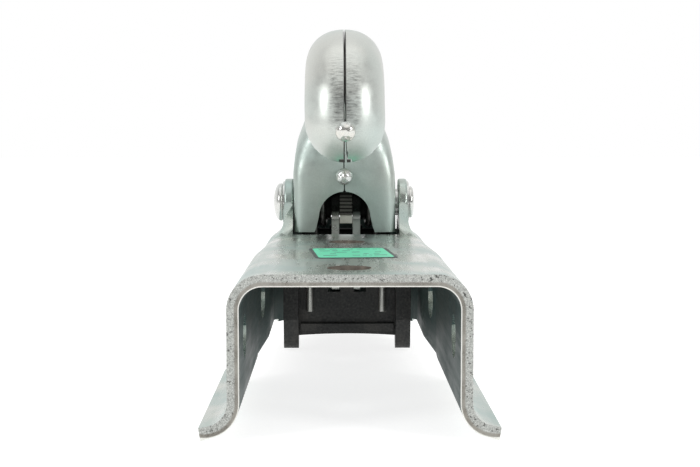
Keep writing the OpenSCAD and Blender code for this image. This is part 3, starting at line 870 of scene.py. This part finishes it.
# ---------------------------------------------------------------- studio
def area_light(name, place, aim, size, power, size_y=None):
    """A rectangular lamp at place that looks at aim."""
    data = bpy.data.lights.new(name, "AREA")
    data.shape = "RECTANGLE"
    data.size = size
    data.size_y = size_y or size
    data.energy = power
    lamp = bpy.data.objects.new(name, data)
    lamp.location = place
    lamp.rotation_euler = (Vector(aim) - Vector(place)).to_track_quat("-Z", "Y").to_euler()
    bpy.context.scene.collection.objects.link(lamp)


def studio():
    """White surroundings, brightest in front, two softboxes, an overhead light and a pale floor."""
    world = bpy.data.worlds.new("studio")
    bpy.context.scene.world = world
    world.use_nodes = True
    tree = world.node_tree
    background = tree.nodes["Background"]
    direction = tree.nodes.new("ShaderNodeTexCoord")
    split = tree.nodes.new("ShaderNodeSeparateXYZ")
    tree.links.new(direction.outputs["Generated"], split.inputs[0])
    ramp = tree.nodes.new("ShaderNodeMapRange")
    ramp.interpolation_type = "SMOOTHSTEP"
    for key, value in (("From Min", -0.6), ("From Max", 0.8), ("To Min", 0.23), ("To Max", 1.0)):
        ramp.inputs[key].default_value = value
    tree.links.new(split.outputs["Y"], ramp.inputs["Value"])
    tree.links.new(ramp.outputs["Result"], background.inputs["Strength"])
    background.inputs["Color"].default_value = (1.0, 1.0, 1.0, 1.0)
    area_light("softbox_left", (-0.90, -0.75, 0.50), (0, -0.15, 0.09), 0.28, 4.0, size_y=0.44)
    area_light("softbox_right", (0.90, -0.75, 0.50), (0, -0.15, 0.09), 0.28, 4.0, size_y=0.44)
    area_light("overhead", (0.0, -0.35, 1.1), (0, -0.10, 0.05), 1.3, 4.0)
    floor_mesh = bpy.data.meshes.new("floor")
    half, z = 4.0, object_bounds()[0][2] - 0.0002
    corners = [(-half, -half, z), (half, -half, z), (half, half, z), (-half, half, z)]
    floor_mesh.from_pydata(corners, [], [(0, 1, 2, 3)])
    floor = bpy.data.objects.new("floor", floor_mesh)
    bpy.context.scene.collection.objects.link(floor)
    paint = bpy.data.materials.new("floor_paint")
    paint.use_nodes = True
    shader = paint.node_tree.nodes["Principled BSDF"]
    shader.inputs["Base Color"].default_value = (0.45, 0.45, 0.45, 1.0)
    shader.inputs["Roughness"].default_value = 1.0
    shader.inputs["Specular IOR Level"].default_value = 0.0
    shader.inputs["Emission Color"].default_value = (1.0, 1.0, 1.0, 1.0)
    shader.inputs["Emission Strength"].default_value = 0.82
    floor_mesh.materials.append(paint)
    floor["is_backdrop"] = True


def camera():
    """Behind the drawbar end, a little left of centre and slightly above, looking forwards."""
    data = bpy.data.cameras.new("camera")
    data.lens = 65.46
    data.sensor_width = 36.0
    data.clip_start = 0.01
    eye = bpy.data.objects.new("camera", data)
    eye.location = (-0.0045, REAR_Y - 0.4024, WEB_Z + 0.0456)
    pitch, yaw = math.radians(4.616), math.radians(0.638)
    eye.rotation_euler = (math.radians(90) - pitch, 0.0, -yaw)
    bpy.context.scene.collection.objects.link(eye)
    bpy.context.scene.camera = eye


# ---------------------------------------------------------------- assembly
plate_zinc = zinc("zinc_plate", (0.46, 0.52, 0.49), (0.62, 0.60, 0.52), (0.36, 0.50, 0.47), rough=0.27,
                  spread=0.022, relief=0.08)
handle_zinc = zinc("zinc_handle", (0.60, 0.63, 0.60), (0.66, 0.65, 0.60), (0.50, 0.61, 0.58), rough=0.41,
                   streak=0.3, finish=press_marks_and_shade)
catch_zinc = zinc("zinc_catch", (0.66, 0.64, 0.58), (0.70, 0.64, 0.54), (0.52, 0.58, 0.54), rough=0.34,
                  specular=0.1, finish=tooth_shade)
hanger_zinc = zinc("zinc_hanger", (0.52, 0.54, 0.51), (0.56, 0.54, 0.48), (0.42, 0.50, 0.47), rough=0.30,
                   specular=0.1, finish=hanger_shade)
bright_zinc = zinc("zinc_bright", (0.66, 0.68, 0.67), (0.70, 0.68, 0.63), (0.58, 0.66, 0.64), rough=0.24,
                   streak=0.2)
weld_zinc = zinc("weld_zinc", (0.68, 0.69, 0.67), (0.72, 0.68, 0.60), (0.60, 0.66, 0.64), rough=0.2,
                 streak=0.1, spread=0.004)
# Painted shade: a dark teal for the channel's inner faces and the window under the yoke.
shaded_zinc = zinc("zinc_inside", (0.050, 0.076, 0.072), (0.070, 0.084, 0.075), (0.034, 0.070, 0.068),
                   rough=0.45, metallic=0.2, specular=0.15)
dark_zinc = zinc("zinc_shadowed", (0.010, 0.012, 0.011), (0.016, 0.015, 0.013), (0.008, 0.011, 0.011),
                 rough=0.6, metallic=0.2, specular=0.1)
drilled_steel = zinc("drilled_wall", (0.17, 0.148, 0.125), (0.34, 0.30, 0.25), (0.08, 0.07, 0.06),
                     rough=0.5, metallic=0.4, spread=0.004, specular=0.2)
edge_steel = sheared("sheared_edge")
jaw_steel = forged("phosphated_forging")
spring_zinc = wire_metal("zinc_wire", (0.62, 0.62, 0.58))
# Dark spring steel wire, its base made darker still as painted shade for the bushes, clips and catch spring
# inside the yoke.
spring_dark = wire_metal("spring_wire", (0.05, 0.05, 0.047), 0.5)
mint_film = film("mint_film", (0.16, 0.86, 0.52))
dark_film = film("dark_film", (0.05, 0.06, 0.06), 0.4)

coupler_body(plate_zinc, edge_steel, shaded_zinc, drilled_steel)
label(mint_film, dark_film)
pivot_pin(bright_zinc, dark_zinc)
for side in (1, -1):
    handle_half(side, handle_zinc)
weld_beads(weld_zinc)
main_spring(spring_zinc)
catch_spring(spring_dark)

REFINED = [
    ("pivot_washer_left", 0.0, bright_zinc, "zinc_bright", "frame"),
    ("pivot_washer_right", 0.0, bright_zinc, "zinc_bright", "frame"),
    ("pivot_bushes", 0.0, spring_dark, "spring_steel", "frame"),
    ("cam_plate_left", 0.0, dark_zinc, "zinc_inner", "handle"),
    ("cam_plate_right", 0.0, dark_zinc, "zinc_inner", "handle"),
    ("cam_rivets", 0.0, bright_zinc, "zinc_bright", "handle"),
    ("catch_pin", 0.0003, bright_zinc, "zinc_bright", "handle"),
    ("catch_clips", 0.0, spring_dark, "spring_steel", "handle"),
    ("safety_catch", 0.0, catch_zinc, "zinc_inner", "catch"),
    ("ball_jaw", 0.0007, jaw_steel, "phosphated", "jaw"),
    ("jaw_hanger_left", 0.0, hanger_zinc, "zinc_inner", "jaw"),
    ("jaw_hanger_right", 0.0, hanger_zinc, "zinc_inner", "jaw"),
    ("jaw_rivets", 0.0004, bright_zinc, "zinc_bright", "jaw"),
    ("follower_pin", 0.0003, dark_zinc, "zinc_bright", "jaw"),
    ("follower_clips", 0.0, spring_dark, "spring_steel", "jaw"),
]
for node, width, material, slot, body in REFINED:
    refine(node, width, material, body)

studio()
camera()
bpy.context.scene.view_settings.view_transform = "Standard"
